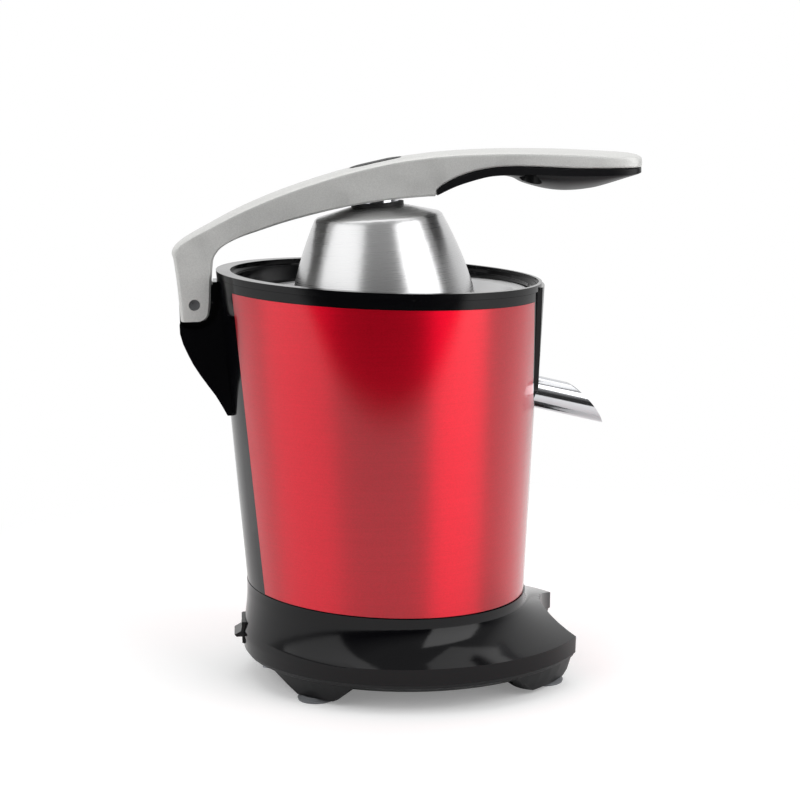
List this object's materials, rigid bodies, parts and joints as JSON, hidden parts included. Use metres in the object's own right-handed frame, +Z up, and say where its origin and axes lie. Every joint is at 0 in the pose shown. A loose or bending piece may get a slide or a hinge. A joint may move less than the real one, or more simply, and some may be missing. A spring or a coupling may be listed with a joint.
{
  "type": "electric citrus press",
  "caption": "Upright electric citrus press: lidless juice bowl with strainer and reamer on a flared base, pull-down lever arm with a steel dome, and a tilting pouring spout.",
  "frame": {"origin": "on the plane that the feet stand on, under the middle of the length and of the width", "axes": "+X to the front, where the spout and the handle point; +Y to the left of someone who looks along +X; +Z up, along the drive axis"},
  "size_m": [0.2577, 0.1816, 0.2923],
  "materials": {
    "gloss_black": "moulded glossy black plastic",
    "satin_black": "moulded satin black plastic",
    "red_lacquer": "red metallic lacquer over sheet steel",
    "cast_alloy": "satin cast aluminium",
    "brushed_steel": "spun and brushed stainless steel",
    "bright_chrome": "polished chrome plating",
    "machined_steel": "turned steel",
    "zinc_steel": "zinc plated steel",
    "grey_rubber": "moulded grey rubber",
    "black_rubber": "moulded black rubber",
    "copper_wire": "enamelled copper winding",
    "bronze": "sintered bronze",
    "nylon": "moulded natural nylon"
  },
  "bodies": {
    "housing": {"base_skirt": "gloss_black", "bottom_plate": "satin_black", "suction_feet": "grey_rubber", "base_screws": "zinc_steel", "switch_frame": "satin_black", "cord_gland": "black_rubber", "casing_frame": "gloss_black", "wrap_panel": "red_lacquer", "frame_screws": "zinc_steel", "juice_bowl": "gloss_black", "bowl_rim": "gloss_black", "strainer": "brushed_steel", "shaft_bush": "bronze", "start_switch": "satin_black", "idler_pin": "machined_steel", "gear_bushes": "bronze", "gearbox_base": "satin_black", "gearbox_cover": "satin_black", "gearbox_screws": "zinc_steel", "deck_screws": "zinc_steel", "motor_stator": "zinc_steel", "motor_windings": "copper_wire", "motor_brackets": "zinc_steel", "motor_bushes": "bronze", "motor_screws": "zinc_steel", "hinge_bracket": "gloss_black", "bracket_screws": "zinc_steel", "hinge_bushes": "bronze"},
    "lever": {"lever_arm": "cast_alloy", "under_grip": "satin_black", "grip_screws": "zinc_steel", "screw_cover": "gloss_black", "press_dome": "brushed_steel", "dome_washer": "black_rubber", "dome_stud": "bright_chrome", "dome_nut": "zinc_steel", "hinge_pin": "machined_steel"},
    "spout": {"spout": "bright_chrome", "spout_barrel": "satin_black"},
    "rocker": {"switch_rocker": "gloss_black"},
    "output": {"output_gear": "nylon", "start_spring": "machined_steel"},
    "reamer": {"reamer": "satin_black", "drive_shaft": "machined_steel"},
    "idler": {"idler_gear": "nylon"},
    "rotor": {"motor_rotor": "machined_steel", "motor_pinion": "bronze", "cooling_fan": "satin_black"}
  },
  "joints": [
    {"name": "lever_swing", "type": "hinge", "parent": "housing", "child": "lever", "pos_m": [-0.1173, 0, 0.2127], "axis": [0, -1, 0], "range_deg": [0, 72]},
    {"name": "spout_tilt", "type": "hinge", "parent": "housing", "child": "spout", "pos_m": [0.06053, 0, 0.159], "axis": [0, -1, 0], "range_deg": [0, 25]},
    {"name": "switch_rock", "type": "hinge", "parent": "housing", "child": "rocker", "pos_m": [-0.0946, 0, 0.0253], "axis": [0, -1, 0], "range_deg": [0, 18]},
    {"name": "rotor_spin", "type": "hinge", "parent": "housing", "child": "rotor", "pos_m": [-0.03277, 0.00571, 0.06], "axis": [0, 0, 1], "continuous": true},
    {"name": "idler_spin", "type": "hinge", "parent": "housing", "child": "idler", "pos_m": [-0.0136, 0.035, 0.11], "axis": [0, 0, 1], "continuous": true},
    {"name": "output_spin", "type": "hinge", "parent": "housing", "child": "output", "pos_m": [-0.0136, 0, 0.118], "axis": [0, 0, 1], "continuous": true},
    {"name": "reamer_press", "type": "slide", "parent": "output", "child": "reamer", "axis": [0, 0, -1], "range_m": [0, 0.003], "stiffness_N_per_m": 3000, "springref_m": -0.002, "deforming": ["start_spring"]}
  ],
  "couplings": [
    {"joint": "idler_spin", "follows": "rotor_spin", "ratio": -0.25},
    {"joint": "output_spin", "follows": "rotor_spin", "ratio": 0.0625}
  ]
}
